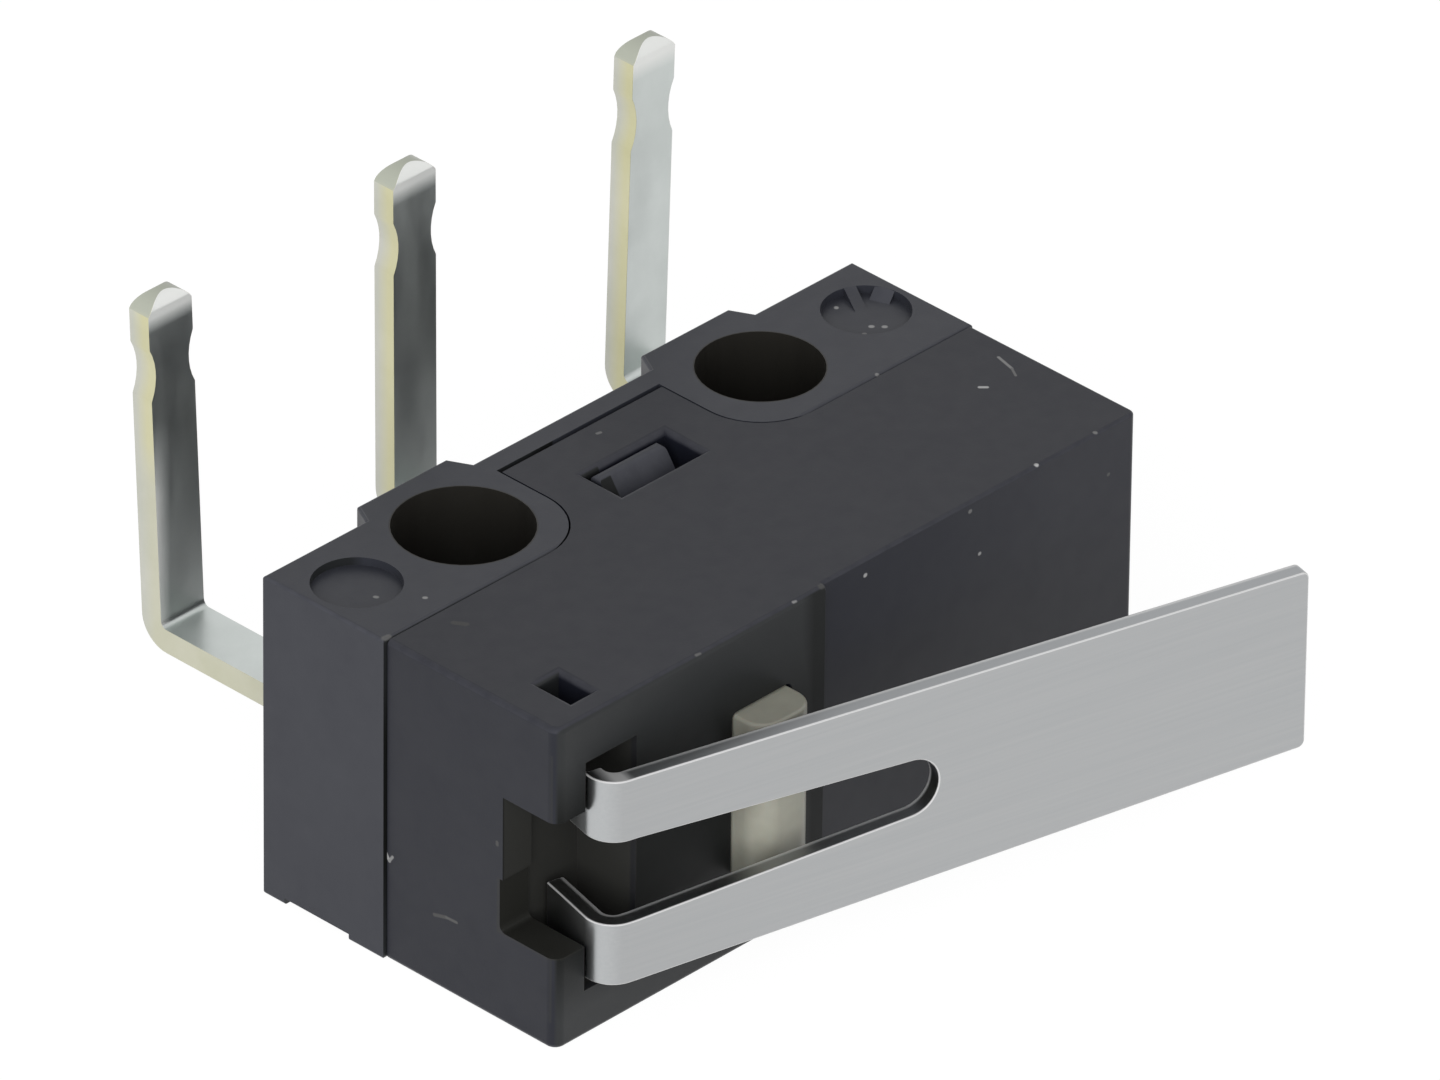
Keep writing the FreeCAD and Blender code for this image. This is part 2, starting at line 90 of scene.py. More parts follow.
# Shading: angles below which faces are one flat, one curve, or one side of a softened edge, and the
# area in square millimetres from which a flat keeps its own normal
FLAT_ANGLE = math.radians(0.6)
CRISP_ANGLE = math.radians(30)
STRIP_ANGLE = math.radians(70)
LARGE_FLAT = 0.4

# The middle of a noise, where it varies most, and the whole of a value from 0 to 1
NOISE_BAND = (0.3, 0.7)
WHOLE = (0.0, 1.0)

# Roughness of each material, over its noise where it varies
CASE_ROUGHNESS = (0.37, 0.44)
PLUNGER_ROUGHNESS = 0.4
STEEL_ROUGHNESS = (0.28, 0.34)
PLATED_ROUGHNESS = (0.3, 0.42)
INNER_ROUGHNESS = (0.25, 0.4)

# Grain: how much finer it is along each axis, least along the run of the sheet
STEEL_GRAIN = (0.1, 7.0, 7.0)
PLATED_GRAIN = (1.2, 1.2, 0.4)
SPRING_GRAIN = (0.2, 5.0, 5.0)

# Case: colours of the two halves, the painted highlight added on their softened rims, the dust, and the
# specular level
BASE_DEEP = (0.0265, 0.028, 0.0365)
BASE_PALE = (0.0315, 0.0335, 0.042)
COVER_DEEP = (0.0087, 0.0097, 0.0158)
COVER_PALE = (0.0117, 0.0127, 0.0188)
RIM_HIGHLIGHT = (0.016, 0.016, 0.018)
DUST_COLOUR = (0.16, 0.16, 0.16)
CASE_SPECULAR = 0.28

# Case: how steep a normal is on a softened rim and on the top, how far it turns to -Y on the front, and
# the patches over which the painted rim highlight varies, with its least and its most strength
RIM_BAND = (0.08, 0.3)
TOP_BAND = (0.95, 0.995)
FRONT_BAND = (-0.8, -0.6)
PATCH_BAND = (0.35, 0.65)
PATCH_STRENGTH = (0.6, 1.2)

# Case: the part of the front left of the step, painted with the tone of the lever's reflection and shade,
# and the narrow gap behind the lever, where a painted shade of the lever darkens it and takes its shine.
# The shade fades along X, at its foot and at its head, and is painted beside the step too. Each share is
# what is left of its darkness there.
STEP_X = -3.8
LEFT_OF_STEP = (STEP_X - 0.02, STEP_X)
LEVER_SHADE_ALONG = (-8.6, STEP_X)
LEVER_SHADE_END_SHARE = 0.4
LEVER_SHADE_FOOT = (0.5, 1.8)
LEVER_SHADE_HEAD = (4.0, 5.1)
LEVER_SHADE_HEAD_SHARE = 0.12
BESIDE_STEP = (STEP_X - 0.55, STEP_X - 0.25)
BESIDE_STEP_SHARE = 0.65
LEVER_REFLECTION_COLOUR = (0.018, 0.0195, 0.0207)
FRONT_SHADE_COLOUR = (0.0085, 0.009, 0.0085)
FRONT_SHADE_SPECULAR = 0.04

# Case: its outer faces, and its mounting bores as places along X with their radii. The painted shade
# inside a bore reaches a margin past its wall and stops just below the top.
TOP = 5.8
FRONT = -5.0
LEFT = -9.62
RECESS_FLOOR = TOP - 0.14
BORES = [(-6.5, 1.125), (0.0, 1.025)]
BORE_TOP = TOP - 0.05
BORE_MARGIN = 0.02
BORE_FADE = 0.01
BORE_SHADE_COLOUR = (0.016, 0.015, 0.013)

# Case: the pocket of the hinge, its mouth and the notch beside it, as boxes with the flat tones painted in
# them for how they look in shade, and how far the sides of a box fade
BOX_FADE = 0.02
HOLLOW_SHADE_TONE = (0.0265, 0.0265, 0.0245)
NOTCH_SHADE_TONE = (0.0175, 0.0175, 0.0155)
HOLLOWS = [
    ((-9.6, -4.98, 0.5), (-7.7, -3.8, 5.3), HOLLOW_SHADE_TONE),
    ((-9.0, -5.12, 0.84), (-7.9, -4.9, 4.97), HOLLOW_SHADE_TONE),
    ((-9.62, -5.12, 1.63), (-9.0, -3.85, 2.6), NOTCH_SHADE_TONE),
]

# Case: nicks and dust, and one painted glint, each as two ends of a line, its half width and its grey. An
# edge of theirs fades out over a share of the half width.
NICK_FADE = 0.3
HAIR_A = (2.81, -2.41, TOP)
HAIR_B = (2.72, -2.78, TOP)
HAIR_C = (2.61, -2.97, TOP)
SCRATCH_A = (LEFT, -2.5, 1.3)
SCRATCH_B = (LEFT, -2.76, 1.37)
SCRATCH_C = (LEFT, -2.98, 1.38)
SEAM_DOT = ((1.12, -1.43, TOP), (1.13, -1.44, TOP), 0.035, 0.2)
COVER_NICKS_AND_GLINT = [
    SEAM_DOT,
    (HAIR_A, HAIR_B, 0.025, 0.2),
    (HAIR_B, HAIR_C, 0.02, 0.12),
    ((1.97, -2.81, TOP), (2.05, -2.89, TOP), 0.03, 0.4),
    ((0.97, -4.97, TOP), (0.98, -4.98, TOP), 0.035, 0.4),
    ((2.28, -4.96, TOP), (2.3, -4.98, TOP), 0.03, 0.15),
    ((2.57, FRONT, 4.92), (2.58, FRONT, 4.92), 0.03, 0.06),
    ((-0.53, FRONT, 5.63), (-0.52, FRONT, 5.63), 0.035, 0.12),
    ((-0.3, FRONT, 4.76), (-0.29, FRONT, 4.76), 0.03, 0.25),
    ((-2.84, FRONT, 5.51), (-2.83, FRONT, 5.51), 0.035, 0.3),
    # a painted glint on the top corner of the step
    ((-3.86, -5.05, TOP), (-3.82, -5.05, TOP), 0.05, 0.05),
    ((-4.47, -5.06, TOP), (-4.42, -5.07, TOP), 0.03, 0.2),
    ((-6.58, -5.06, TOP), (-6.5, -5.07, TOP), 0.03, 0.1),
    ((-3.17, 0.41, TOP), (-3.12, 0.4, TOP), 0.03, 0.12),
    ((-8.55, -1.84, TOP), (-8.45, -2.0, TOP), 0.05, 0.03),
    (SCRATCH_A, SCRATCH_B, 0.03, 0.05),
    (SCRATCH_B, SCRATCH_C, 0.025, 0.07),
    ((LEFT, -3.84, 3.24), (LEFT, -3.84, 3.2), 0.03, 0.05),
    ((LEFT, -1.46, 1.94), (LEFT, -1.53, 1.83), 0.03, 0.3),
    ((LEFT, -1.53, 1.83), (LEFT, -1.6, 1.93), 0.025, 0.2),
]
BASE_NICKS = [
    SEAM_DOT,
    ((2.24, 0.53, RECESS_FLOOR), (2.23, 0.52, RECESS_FLOOR), 0.035, 0.3),
    ((2.22, -0.24, RECESS_FLOOR), (2.23, -0.25, RECESS_FLOOR), 0.04, 0.3),
    ((2.36, -0.39, RECESS_FLOOR), (2.37, -0.4, RECESS_FLOOR), 0.04, 0.3),
    ((1.99, -0.31, RECESS_FLOOR), (2.0, -0.32, RECESS_FLOOR), 0.03, 0.15),
    ((-8.73, -0.33, RECESS_FLOOR), (-8.72, -0.35, RECESS_FLOOR), 0.035, 0.2),
    ((-8.37, -1.03, TOP), (-8.36, -1.04, TOP), 0.035, 0.25),
    ((-9.6, -1.4, TOP), (-9.52, -1.41, TOP), 0.05, 0.09),
]

# Lever: its angle, and the middle and inner radius of its bend once it is turned along X
LEVER_ANGLE = math.radians(14.1)
BEND_CENTRE = (-6.96, -7.09, 0.0)
BEND_INNER = 0.2

# Lever: where its bend ends along X, how far a normal turns to -X on the outside of the bend, where a
# highlight is painted, and how far one leans into the plane of the sheet on an arris, which has a painted
# highlight, and on a sheared edge
PAST_BEND = (-7.9, -7.8)
BEND_BAND = (-0.75, -0.25)
ARRIS_BAND = (0.1, 0.3)
SHEARED_BAND = (0.985, 0.998)

# Lever: the highlight painted on a sheared edge: a line on its inner side, as distances from the middle of
# the bend, and a stretch of the upper tine, which sets in and fades out this far from it towards -X and
# only shows above this height
HIGHLIGHT_LINE = (BEND_INNER + 0.05, BEND_INNER + 0.09)
HIGHLIGHT_LINE_SHARE = 0.75
HIGHLIGHT_FROM = (-0.1, 0.05)
HIGHLIGHT_TO = (0.2, 0.4)
HIGHLIGHT_HEIGHT = (3.5, 4.0)

# Lever: how metallic its arrises are, and its colours, with those of the highlights painted on the bend,
# the arrises and the sheared edges
ARRIS_METALLIC = 0.5
STEEL_DEEP = (0.415, 0.425, 0.432)
STEEL_PALE = (0.445, 0.452, 0.456)
BEND_HIGHLIGHT_GAIN = (1.13, 1.14, 1.14)
ARRIS_HIGHLIGHT_STEEL = (0.62, 0.62, 0.62)
SHEARED_STEEL = (0.33, 0.34, 0.35)
SHEARED_HIGHLIGHT_STEEL = (0.6, 0.6, 0.6)

# Terminals: the front of the sheet's thickness, where its cut edges are yellow; the first pin, whose
# lower stretch is less so; and a normal that turns sideways on a cut edge
YELLOW_FRONT = (4.4, 4.64)
FIRST_PIN = (-9.36, -7.36)
LESS_YELLOW = (5.6, 6.4)
LESS_YELLOW_SHARE = 0.15
CUT_BAND = (0.15, 0.45)

# Terminals: the coined tip from its foot and from its shoulder, a normal that rises on its rolled faces
# and on its topmost faces, and one that no longer turns to -Y. A highlight is painted on the rolled faces
# and the shoulder, and a shade on the topmost faces.
TIP_FOOT = (8.4, 8.5)
TIP_SHOULDER = (8.44, 8.7)
ROLLED_BAND = (0.05, 0.3)
TOPMOST_BAND = (0.3, 0.6)
BACKWARD_BAND = (-0.5, -0.2)

# Terminals: the glint down the left side of the first pin, along X and up to its head
GLINT_ALONG = (-8.86, -8.58)
GLINT_HEAD = (5.4, 6.8)

# Terminals: how metallic the cut edges, the shoulders of the tips and the glint are
CUT_METALLIC = 0.6
SHOULDER_METALLIC = 0.3
GLINT_METALLIC = 0.45

# Terminals: colours of the flats and the cut edges, of the highlight painted on the tips and down the
# first pin, and of the shade painted on top of the tips
PLATED_DEEP = (0.535, 0.57, 0.555)
PLATED_PALE = (0.605, 0.64, 0.625)
CUT_DEEP = (0.5, 0.51, 0.44)
CUT_PALE = (0.57, 0.57, 0.52)
YELLOW_DEEP = (0.56, 0.54, 0.32)
YELLOW_PALE = (0.62, 0.6, 0.4)
PIN_HIGHLIGHT_COLOUR = (0.74, 0.75, 0.73)
TIP_SHADE_COLOUR = (0.42, 0.44, 0.37)

# Plunger, contacts and blade: colours
IVORY_DEEP = (0.30, 0.30, 0.25)
IVORY_PALE = (0.36, 0.355, 0.3)
SILVER = (0.8, 0.78, 0.72)
SPRING_DEEP = (0.68, 0.45, 0.29)
SPRING_PALE = (0.78, 0.54, 0.36)

# Sockets of a Mix node that takes colours
MIX_FACTOR, MIX_A, MIX_B = 0, 6, 7
MIX_RESULT = 2

# Vector operations that give a number
MEASURES = ("DISTANCE", "DOT_PRODUCT", "LENGTH")


def feed(tree, node, inputs):
    """Sets each input of a node, or links it where the value is a socket."""
    for key, value in inputs.items():
        if isinstance(value, bpy.types.NodeSocket):
            tree.links.new(value, node.inputs[key])
        else:
            node.inputs[key].default_value = value


def add(tree, kind, inputs=None, **settings):
    """A new node with its settings and its inputs."""
    node = tree.nodes.new(kind)
    for key, value in settings.items():
        setattr(node, key, value)
    feed(tree, node, inputs or {})
    return node


def make_material(name):
    """A new material with its node tree and its Principled shader."""
    material = bpy.data.materials.new(name)
    material.use_nodes = True
    tree = material.node_tree
    return material, tree, tree.nodes["Principled BSDF"]


def opaque(colour):
    """A plain colour with its alpha, or a socket as it is."""
    return (*colour, 1.0) if isinstance(colour, tuple) else colour


def maths(tree, operation, a, b=0.0, clamp=False):
    """The result of a Math node."""
    return add(tree, "ShaderNodeMath", {0: a, 1: b}, operation=operation, use_clamp=clamp).outputs[0]


def times(tree, a, b):
    return maths(tree, "MULTIPLY", a, b)


def vectors(tree, operation, a, b=(0.0, 0.0, 0.0)):
    """The result of a Vector Math node: a number for what measures, else a vector."""
    made = add(tree, "ShaderNodeVectorMath", {0: a, 1: b}, operation=operation)
    return made.outputs["Value" if operation in MEASURES else "Vector"]


def spread(tree, value, band, onto):
    """Maps a band of a value onto another, and holds the result beyond its ends."""
    made = add(tree, "ShaderNodeMapRange", {
        "Value": value,
        "From Min": band[0],
        "From Max": band[1],
        "To Min": onto[0],
        "To Max": onto[1],
    })
    return made.outputs["Result"]


def rising(tree, value, band):
    """0 below a band and 1 above it."""
    return spread(tree, value, band, (0.0, 1.0))


def falling(tree, value, band):
    """1 below a band and 0 above it."""
    return spread(tree, value, band, (1.0, 0.0))


def down_to(tree, value, share):
    """1 where a value is 0, and a share where it is 1."""
    return spread(tree, value, WHOLE, (1.0, share))


def mix(tree, factor, a, b, blend="MIX"):
    """Blends two colours, each a socket or a plain colour."""
    sockets = {MIX_FACTOR: factor, MIX_A: opaque(a), MIX_B: opaque(b)}
    return add(tree, "ShaderNodeMix", sockets, data_type="RGBA", blend_type=blend).outputs[MIX_RESULT]


def tinted(tree, value, low, high):
    """Runs from one colour to another across the middle of a noise."""
    made = add(tree, "ShaderNodeValToRGB", {"Fac": value})
    for element, place, colour in zip(made.color_ramp.elements, NOISE_BAND, (low, high)):
        element.position = place
        element.color = opaque(colour)
    return made.outputs["Color"]


def millimetres(tree, scale=(1.0, 1.0, 1.0), turn=0.0):
    """The place on the piece in millimetres, turned about Z and then stretched."""
    coordinates = add(tree, "ShaderNodeTexCoord")
    turned = add(tree, "ShaderNodeMapping", {
        "Vector": coordinates.outputs["Object"],
        "Rotation": (0.0, 0.0, turn),
    })
    stretched = add(tree, "ShaderNodeMapping", {
        "Vector": turned.outputs["Vector"],
        "Scale": tuple(factor / MM for factor in scale),
    })
    return stretched.outputs["Vector"]


def components(tree, vector):
    return add(tree, "ShaderNodeSeparateXYZ", {"Vector": vector}).outputs


def own_normal(tree, turn=0.0):
    """The components of the normal in the piece's own frame, turned about Z."""
    coordinates = add(tree, "ShaderNodeTexCoord")
    turned = add(tree, "ShaderNodeMapping", {
        "Vector": coordinates.outputs["Normal"],
        "Rotation": (0.0, 0.0, turn),
    })
    return components(tree, turned.outputs["Vector"])


def noise(tree, vector, scale, detail=4.0, roughness=0.5):
    made = add(tree, "ShaderNodeTexNoise", {
        "Vector": vector,
        "Scale": scale,
        "Detail": detail,
        "Roughness": roughness,
    })
    return made.outputs["Fac"]


def bump(tree, height, strength, depth):
    """A normal from a height, with the depth of the relief."""
    made = add(tree, "ShaderNodeBump", {"Height": height, "Strength": strength, "Distance": depth * MM})
    return made.outputs["Normal"]


def specks(tree, vector, cells, size, share):
    """1 inside small scattered spots: one spot in a share of the cells of a Voronoi pattern."""
    cell = add(tree, "ShaderNodeTexVoronoi", {"Vector": vector, "Scale": cells})
    near = maths(tree, "LESS_THAN", cell.outputs["Distance"], size)
    split = add(tree, "ShaderNodeSeparateColor", {"Color": cell.outputs["Color"]})
    chosen = maths(tree, "LESS_THAN", split.outputs["Red"], share)
    return times(tree, near, chosen)


def nearness(tree, at, start, stop, half_width, fade=NICK_FADE):
    """1 within a half width of the line between two points, fading out over a share of it."""
    run = Vector(stop) - Vector(start)
    offset = vectors(tree, "SUBTRACT", at, start)
    along = vectors(tree, "DOT_PRODUCT", offset, tuple(run))
    share = maths(tree, "DIVIDE", along, run.length_squared, clamp=True)
    foot = vectors(tree, "MULTIPLY", tuple(run), share)
    band = (half_width * (1 - fade), half_width * (1 + fade))
    return falling(tree, vectors(tree, "DISTANCE", offset, foot), band)


def within(tree, at, low, high):
    """1 inside a box given by two corners, and 0 outside."""
    least = vectors(tree, "SUBTRACT", at, low)
    most = vectors(tree, "SUBTRACT", high, at)
    depth = components(tree, vectors(tree, "MINIMUM", least, most))
    shallowest = maths(tree, "MINIMUM", maths(tree, "MINIMUM", depth["X"], depth["Y"]), depth["Z"])
    return rising(tree, shallowest, (-BOX_FADE, BOX_FADE))


def rim_highlights(tree, at, normal):
    """How much highlight is painted on the softened rims of the top and the underside, patch by patch."""
    upright = maths(tree, "ABSOLUTE", normal["Z"])
    rims = times(tree, rising(tree, upright, RIM_BAND), falling(tree, upright, TOP_BAND))
    patches = noise(tree, at, scale=4.0, detail=3.0)
    return times(tree, rims, spread(tree, patches, PATCH_BAND, PATCH_STRENGTH))


def painted_front_shade(tree, place, front_left):
    """How deep a place on the left of the front lies in the painted shade: that of the lever in the gap
    behind it, and that beside the step.
    """
    front_shade = times(tree, front_left, spread(tree, place["X"], LEVER_SHADE_ALONG, (1.0, LEVER_SHADE_END_SHARE)))
    front_shade = times(tree, front_shade, rising(tree, place["Z"], LEVER_SHADE_FOOT))
    front_shade = times(tree, front_shade, spread(tree, place["Z"], LEVER_SHADE_HEAD, (1.0, LEVER_SHADE_HEAD_SHARE)))
    beside_step = spread(tree, place["X"], BESIDE_STEP, (0.0, BESIDE_STEP_SHARE))
    return maths(tree, "MAXIMUM", front_shade, times(tree, front_left, beside_step))


def case_material(name, deep, pale, nicks_and_glints, bores):
    """Dark glass-filled moulding: mottling, fine texture, nicks and dust, with painted highlights on the
    rims, a painted glint, the painted reflection and shade of the lever on the front, and painted shade in
    the hollows and bores.
    """
    material, tree, shader = make_material(name)
    at = millimetres(tree)
    place = components(tree, at)
    normal = own_normal(tree)
    on_front = falling(tree, normal["Y"], FRONT_BAND)
    front_left = times(tree, on_front, falling(tree, place["X"], LEFT_OF_STEP))
    front_shade = painted_front_shade(tree, place, front_left)
    mottle = noise(tree, at, scale=1.3, detail=6.0, roughness=0.6)
    matte = noise(tree, at, scale=3.5, detail=5.0)
    texture = noise(tree, at, scale=38.0, detail=3.0, roughness=0.6)

    colour = tinted(tree, mottle, deep, pale)
    # Painted highlight on the softened rims
    colour = mix(tree, rim_highlights(tree, at, normal), colour, RIM_HIGHLIGHT, "ADD")
    # Painted reflection and shade of the lever on the front left of the step
    colour = mix(tree, front_left, colour, LEVER_REFLECTION_COLOUR)
    # Painted shade in the gap behind the lever and beside the step
    colour = mix(tree, front_shade, colour, FRONT_SHADE_COLOUR)
    # Painted shade inside the mounting bores
    for x, radius in bores:
        inside = nearness(tree, at, (x, 0.0, 0.0), (x, 0.0, BORE_TOP), radius + BORE_MARGIN, BORE_FADE)
        colour = mix(tree, inside, colour, BORE_SHADE_COLOUR)
    # Flat tones painted in the hollows for how they look in shade
    for low, high, shade in HOLLOWS:
        colour = mix(tree, within(tree, at, low, high), colour, shade)
    colour = mix(tree, specks(tree, at, cells=2.2, size=0.03, share=0.05), colour, DUST_COLOUR)
    # Nicks and dust, and on the cover a painted glint on the corner of the step
    for start, stop, half_width, grey in nicks_and_glints:
        colour = mix(tree, nearness(tree, at, start, stop, half_width), colour, (grey, grey, grey))

    feed(tree, shader, {
        "Base Color": colour,
        "Roughness": spread(tree, matte, NOISE_BAND, CASE_ROUGHNESS),
        # The painted shade also takes the shine away
        "Specular IOR Level": spread(tree, front_shade, WHOLE, (CASE_SPECULAR, FRONT_SHADE_SPECULAR)),
        "Normal": bump(tree, texture, strength=0.25, depth=0.005),
    })
    return material


def plunger_material():
    """Greyish ivory moulding that lets a little light in."""
    material, tree, shader = make_material("plunger_plastic")
    at = millimetres(tree)
    texture = noise(tree, at, scale=20.0, detail=3.0)
    feed(tree, shader, {
        "Base Color": tinted(tree, noise(tree, at, scale=2.0), IVORY_DEEP, IVORY_PALE),
        "Roughness": PLUNGER_ROUGHNESS,
        "Subsurface Weight": 0.1,
        "Subsurface Scale": 0.3 * MM,
        "Normal": bump(tree, texture, strength=0.15, depth=0.005),
    })
    return material


def sheared_edge_highlight(tree):
    """1 where a highlight is painted on a sheared edge of the lever: along its inner side, and in the
    upper bend.
    """
    at = millimetres(tree, turn=LEVER_ANGLE)
    from_centre = vectors(tree, "MULTIPLY", vectors(tree, "SUBTRACT", BEND_CENTRE, at), (1.0, 1.0, 0.0))
    along = components(tree, from_centre)["X"]
    through = vectors(tree, "LENGTH", vectors(tree, "MAXIMUM", from_centre))
    line = spread(tree, through, HIGHLIGHT_LINE, (HIGHLIGHT_LINE_SHARE, 0.0))
    stretch = times(tree, rising(tree, along, HIGHLIGHT_FROM), falling(tree, along, HIGHLIGHT_TO))
    stretch = times(tree, stretch, rising(tree, components(tree, at)["Z"], HIGHLIGHT_HEIGHT))
    return maths(tree, "MAXIMUM", line, stretch)


def steel_material():
    """Stainless sheet with its rolling grain along the lever, and sheared edges; highlights are painted on
    the outside of the bend, on the arrises and on parts of the sheared edges.
    """
    material, tree, shader = make_material("lever_steel")
    along_lever = millimetres(tree, STEEL_GRAIN, LEVER_ANGLE)
    grain = noise(tree, along_lever, scale=3.0, detail=6.0, roughness=0.6)
    normal = own_normal(tree, LEVER_ANGLE)
    past_bend = rising(tree, components(tree, millimetres(tree))["X"], PAST_BEND)
    lengthwise = times(tree, normal["X"], past_bend)
    in_sheet = add(tree, "ShaderNodeCombineXYZ", {"X": lengthwise, "Z": normal["Z"]})
    lean = vectors(tree, "LENGTH", in_sheet.outputs[0])
    arris = rising(tree, lean, ARRIS_BAND)
    sheared = rising(tree, lean, SHEARED_BAND)
    sheared_highlight = times(tree, sheared, sheared_edge_highlight(tree))
    highlighted = maths(tree, "ADD", maths(tree, "SUBTRACT", arris, sheared), sheared_highlight)

    colour = tinted(tree, grain, STEEL_DEEP, STEEL_PALE)
    # Painted highlight on the outside of the bend
    colour = mix(tree, falling(tree, normal["X"], BEND_BAND), colour, BEND_HIGHLIGHT_GAIN, "MULTIPLY")
    # Painted highlight on the arrises
    colour = mix(tree, arris, colour, ARRIS_HIGHLIGHT_STEEL)
    colour = mix(tree, sheared, colour, SHEARED_STEEL)
    # Painted highlight on parts of the sheared edges
    colour = mix(tree, sheared_highlight, colour, SHEARED_HIGHLIGHT_STEEL)

    feed(tree, shader, {
        "Base Color": colour,
        # Less metallic where a highlight is painted
        "Metallic": down_to(tree, highlighted, ARRIS_METALLIC),
        "Roughness": spread(tree, grain, NOISE_BAND, STEEL_ROUGHNESS),
        "Normal": bump(tree, grain, strength=0.1, depth=0.003),
    })
    return material


def plating_material():
    """Bright plating on the flats of the terminals and yellowish cut edges; a highlight is painted on the
    coined tips and a glint down the first pin, and a shade on top of the tips.
    """
    material, tree, shader = make_material("terminal_metal")
    at = millimetres(tree)
    place = components(tree, at)
    normal = own_normal(tree)

    cut = rising(tree, maths(tree, "ABSOLUTE", normal["X"]), CUT_BAND)
    less_yellow = times(tree, falling(tree, place["X"], FIRST_PIN), falling(tree, place["Z"], LESS_YELLOW))
    less_yellow = down_to(tree, less_yellow, LESS_YELLOW_SHARE)
    yellowed = times(tree, falling(tree, place["Y"], YELLOW_FRONT), less_yellow)
    tip = rising(tree, place["Z"], TIP_FOOT)
    shoulder = rising(tree, place["Z"], TIP_SHOULDER)
    rolled = maths(tree, "MAXIMUM", times(tree, tip, rising(tree, normal["Z"], ROLLED_BAND)), shoulder)
    topmost = times(tree, tip, rising(tree, normal["Z"], TOPMOST_BAND))
    topmost = times(tree, topmost, rising(tree, normal["Y"], BACKWARD_BAND))
    glint = times(tree, falling(tree, place["X"], GLINT_ALONG), falling(tree, normal["Y"], FRONT_BAND))
    glint = times(tree, glint, falling(tree, place["Z"], GLINT_HEAD))

    cast = noise(tree, at, scale=0.8, detail=5.0, roughness=0.6)
    flat = tinted(tree, cast, PLATED_DEEP, PLATED_PALE)
    # Painted highlight on the rolled faces and shoulders of the tips
    flat = mix(tree, rolled, flat, PIN_HIGHLIGHT_COLOUR)
    flat = mix(tree, glint, flat, PIN_HIGHLIGHT_COLOUR)
    plain_edge = tinted(tree, cast, CUT_DEEP, CUT_PALE)
    yellow_edge = tinted(tree, cast, YELLOW_DEEP, YELLOW_PALE)
    edge = mix(tree, yellowed, plain_edge, yellow_edge)
    # Painted shade on the topmost faces of the tips
    colour = mix(tree, topmost, mix(tree, cut, flat, edge), TIP_SHADE_COLOUR)

    metallic = down_to(tree, cut, CUT_METALLIC)
    metallic = times(tree, metallic, down_to(tree, shoulder, SHOULDER_METALLIC))
    metallic = times(tree, metallic, down_to(tree, glint, GLINT_METALLIC))

    streak = noise(tree, millimetres(tree, PLATED_GRAIN), scale=1.5, detail=3.0)
    feed(tree, shader, {
        "Base Color": colour,
        "Metallic": metallic,
        "Roughness": spread(tree, streak, NOISE_BAND, PLATED_ROUGHNESS),
        "Normal": bump(tree, streak, strength=0.1, depth=0.01),
    })
    return material


def contact_material():
    """Silver with the slight unevenness of a pressed rivet."""
    material, tree, shader = make_material("contact_metal")
    at = millimetres(tree)
    feed(tree, shader, {
        "Base Color": opaque(SILVER),
        "Metallic": 1.0,
        "Roughness": spread(tree, noise(tree, at, scale=6.0), NOISE_BAND, INNER_ROUGHNESS),
        "Normal": bump(tree, noise(tree, at, scale=12.0), strength=0.2, depth=0.005),
    })
    return material


def blade_material():
    """Copper alloy strip with its grain along the blade."""
    material, tree, shader = make_material("blade_metal")
    grain = noise(tree, millimetres(tree, SPRING_GRAIN), scale=3.0, detail=5.0)
    feed(tree, shader, {
        "Base Color": tinted(tree, grain, SPRING_DEEP, SPRING_PALE),
        "Metallic": 1.0,
        "Roughness": spread(tree, grain, NOISE_BAND, INNER_ROUGHNESS),
        "Normal": bump(tree, grain, strength=0.2, depth=0.003),
    })
    return material


def flat_areas(faces):
    """The area of the whole flat that each face is part of."""
    area_of = {}
    for first in faces:
        if first in area_of:
            continue
        flat = {first}
        waiting = [first]
        while waiting:
            for border in waiting.pop().edges:
                if border.calc_face_angle(math.pi) > FLAT_ANGLE:
                    continue
                for other in border.link_faces:
                    if other in faces and other not in flat:
                        flat.add(other)
                        waiting.append(other)
        area = sum(face.calc_area() for face in flat)
        area_of.update({face: area for face in flat})
    return area_of


def corner_normals(shape, strips):
    """Normals by face corner: large flats stay flat, curves are smooth and the soft strips join them."""
    area_of = flat_areas({face for face in shape.faces if face not in strips})
    normals = []
    for face in shape.faces:
        reach = STRIP_ANGLE if face in strips else CRISP_ANGLE
        for corner in face.loops:
            around = [other for other in corner.vert.link_faces if other in area_of]
            around = around or list(corner.vert.link_faces)
            near = [other for other in around if other.normal.angle(face.normal, 0.0) < reach] or [face]
            largest = max(near, key=lambda other: area_of.get(other, 0.0))
            if area_of.get(largest, 0.0) > LARGE_FLAT * MM * MM:
                normals.append(largest.normal.copy())
            else:
                total = sum((other.normal * other.calc_area() for other in near), Vector())
                normals.append(total.normalized() if total.length else face.normal.copy())
    return normals


